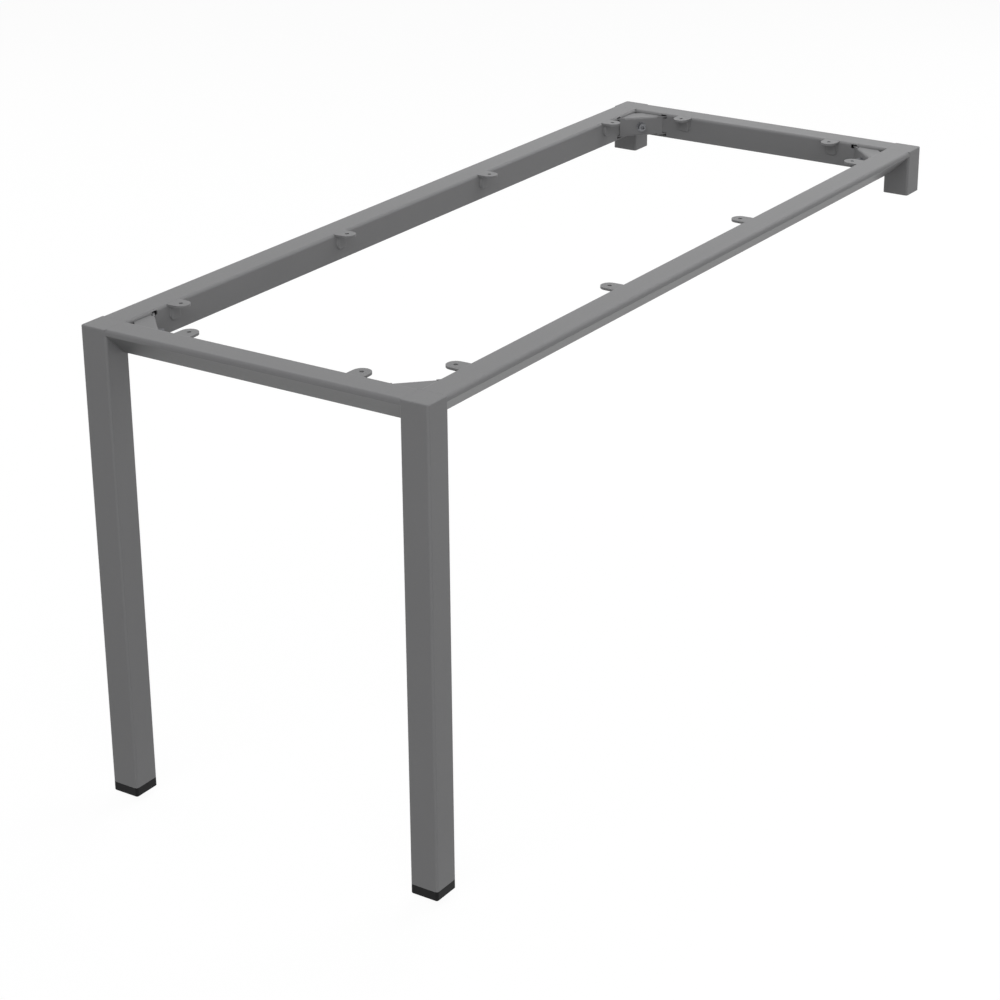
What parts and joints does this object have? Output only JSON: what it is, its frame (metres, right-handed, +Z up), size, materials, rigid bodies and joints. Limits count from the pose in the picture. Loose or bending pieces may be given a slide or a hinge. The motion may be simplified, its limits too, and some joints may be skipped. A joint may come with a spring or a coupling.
{
  "type": "table frame",
  "caption": "Steel table frame with full legs at one end and short stub legs for a cabinet at the other, with screw tabs for a table top.",
  "frame": {"origin": "on the floor under the middle of the frame, with the feet screwed right in", "axes": "+X along the frame towards the cabinet end, +Y across it towards the rear rail, +Z up"},
  "size_m": [1.46, 0.58, 0.725],
  "materials": {
    "powder_coated_steel": "satin grey powder coat",
    "zinc_plated_steel": "zinc plated",
    "zinc_flake_steel": "dull grey zinc-flake coating",
    "black_plastic": "moulded, matt"
  },
  "bodies": {
    "frame": {"front_rail": "powder_coated_steel", "front_screw_tab_1": "powder_coated_steel", "front_screw_tab_2": "powder_coated_steel", "front_screw_tab_3": "powder_coated_steel", "front_screw_tab_4": "powder_coated_steel", "rear_rail": "powder_coated_steel", "rear_screw_tab_1": "powder_coated_steel", "rear_screw_tab_2": "powder_coated_steel", "rear_screw_tab_3": "powder_coated_steel", "rear_screw_tab_4": "powder_coated_steel", "open_end_rail": "powder_coated_steel", "open_end_screw_tab_1": "powder_coated_steel", "open_end_screw_tab_2": "powder_coated_steel", "cabinet_end_rail": "powder_coated_steel", "cabinet_end_screw_tab_1": "powder_coated_steel", "cabinet_end_screw_tab_2": "powder_coated_steel", "front_leg": "powder_coated_steel", "front_leg_top_plate": "powder_coated_steel", "front_leg_bracket": "powder_coated_steel", "rear_leg": "powder_coated_steel", "rear_leg_top_plate": "powder_coated_steel", "rear_leg_bracket": "powder_coated_steel", "front_stub": "powder_coated_steel", "front_stub_top_plate": "powder_coated_steel", "front_stub_bracket": "powder_coated_steel", "rear_stub": "powder_coated_steel", "rear_stub_top_plate": "powder_coated_steel", "rear_stub_bracket": "powder_coated_steel", "front_stub_base_plate": "powder_coated_steel", "rear_stub_base_plate": "powder_coated_steel", "front_leg_nut_block": "zinc_plated_steel", "rear_leg_nut_block": "zinc_plated_steel", "front_stub_nut_block": "zinc_plated_steel", "rear_stub_nut_block": "zinc_plated_steel", "front_leg_foot_nut": "zinc_plated_steel", "rear_leg_foot_nut": "zinc_plated_steel", "front_leg_bolt": "zinc_flake_steel", "front_leg_washer": "zinc_flake_steel", "rear_leg_bolt": "zinc_flake_steel", "rear_leg_washer": "zinc_flake_steel", "front_stub_bolt": "zinc_flake_steel", "front_stub_washer": "zinc_flake_steel", "rear_stub_bolt": "zinc_flake_steel", "rear_stub_washer": "zinc_flake_steel", "front_leg_foot_plug": "black_plastic", "rear_leg_foot_plug": "black_plastic"},
    "front_foot_pad": {"front_leg_foot_pad": "black_plastic"},
    "front_foot_stud": {"front_leg_levelling_stud": "zinc_plated_steel"},
    "rear_foot_pad": {"rear_leg_foot_pad": "black_plastic"},
    "rear_foot_stud": {"rear_leg_levelling_stud": "zinc_plated_steel"}
  },
  "joints": [
    {"name": "front_foot_height", "type": "slide", "parent": "frame", "child": "front_foot_pad", "axis": [0, 0, -1], "range_m": [0, 0.01]},
    {"name": "front_foot_screw", "type": "hinge", "parent": "front_foot_pad", "child": "front_foot_stud", "pos_m": [-0.7075, -0.2675, 0], "axis": [0, 0, 1], "range_deg": [0, 2880]},
    {"name": "rear_foot_height", "type": "slide", "parent": "frame", "child": "rear_foot_pad", "axis": [0, 0, -1], "range_m": [0, 0.01]},
    {"name": "rear_foot_screw", "type": "hinge", "parent": "rear_foot_pad", "child": "rear_foot_stud", "pos_m": [-0.7075, 0.2675, 0], "axis": [0, 0, 1], "range_deg": [0, 2880]}
  ],
  "couplings": [
    {"joint": "front_foot_screw", "follows": "front_foot_height", "rad_per_m": 5026.5},
    {"joint": "rear_foot_screw", "follows": "rear_foot_height", "rad_per_m": 5026.5}
  ]
}
